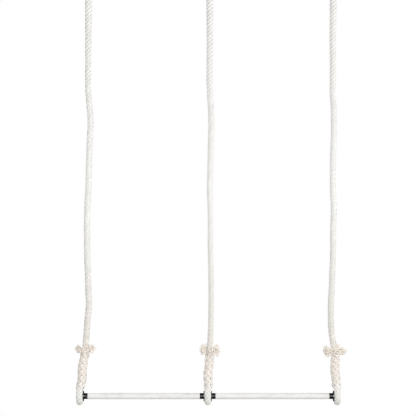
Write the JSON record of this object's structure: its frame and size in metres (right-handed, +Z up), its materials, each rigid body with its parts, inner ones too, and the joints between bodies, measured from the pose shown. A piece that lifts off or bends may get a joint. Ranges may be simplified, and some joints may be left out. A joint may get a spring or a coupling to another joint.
{
  "type": "double trapeze",
  "caption": "Double trapeze: a taped steel bar turning in spliced rope eyes, hung on white cotton ropes that end in steel thimbles.",
  "frame": {"origin": "centre of the middle thimble's bore, from which the trapeze hangs", "axes": "+X along the bar and the thimbles' bores, to the right in the picture; +Y away from the viewer; +Z up"},
  "size_m": [1.1589, 0.0976, 2.0886],
  "materials": {
    "cotton_rope": "hard-laid cotton",
    "frayed_cotton": "raw cotton yarn",
    "white_tape": "wound cotton tape",
    "black_tape": "vinyl tape",
    "black_steel": "gloss paint",
    "bar_steel": "satin paint",
    "white_cap": "moulded",
    "zinc_steel": "galvanised"
  },
  "bodies": {
    "thimbles": {"left_thimble": "zinc_steel", "middle_thimble": "zinc_steel", "right_thimble": "zinc_steel"},
    "ropes": {"left_top_eye": "cotton_rope", "left_top_splice": "cotton_rope", "left_top_frayed_ends": "frayed_cotton", "left_rope": "cotton_rope", "left_bar_frayed_ends": "frayed_cotton", "left_bar_splice": "cotton_rope", "left_bar_eye": "cotton_rope", "middle_top_eye": "cotton_rope", "middle_top_splice": "cotton_rope", "middle_top_frayed_ends": "frayed_cotton", "middle_rope": "cotton_rope", "middle_bar_frayed_ends": "frayed_cotton", "middle_bar_splice": "cotton_rope", "middle_bar_eye": "cotton_rope", "right_top_eye": "cotton_rope", "right_top_splice": "cotton_rope", "right_top_frayed_ends": "frayed_cotton", "right_rope": "cotton_rope", "right_bar_frayed_ends": "frayed_cotton", "right_bar_splice": "cotton_rope", "right_bar_eye": "cotton_rope"},
    "bar": {"bar_tube": "bar_steel", "left_grip_tape": "white_tape", "right_grip_tape": "white_tape", "left_band": "black_tape", "middle_left_band": "black_tape", "middle_right_band": "black_tape", "right_band": "black_tape", "left_disc": "black_steel", "middle_left_disc": "black_steel", "middle_right_disc": "black_steel", "right_disc": "black_steel", "left_end_cap": "white_cap", "right_end_cap": "white_cap"}
  },
  "joints": [
    {"name": "swing", "type": "hinge", "parent": "thimbles", "child": "ropes", "pos_m": [0, 0, 0], "axis": [1, 0, 0], "range_deg": [-60, 60]},
    {"name": "bar_roll", "type": "hinge", "parent": "ropes", "child": "bar", "pos_m": [0, 0, -2], "axis": [1, 0, 0], "continuous": true}
  ]
}
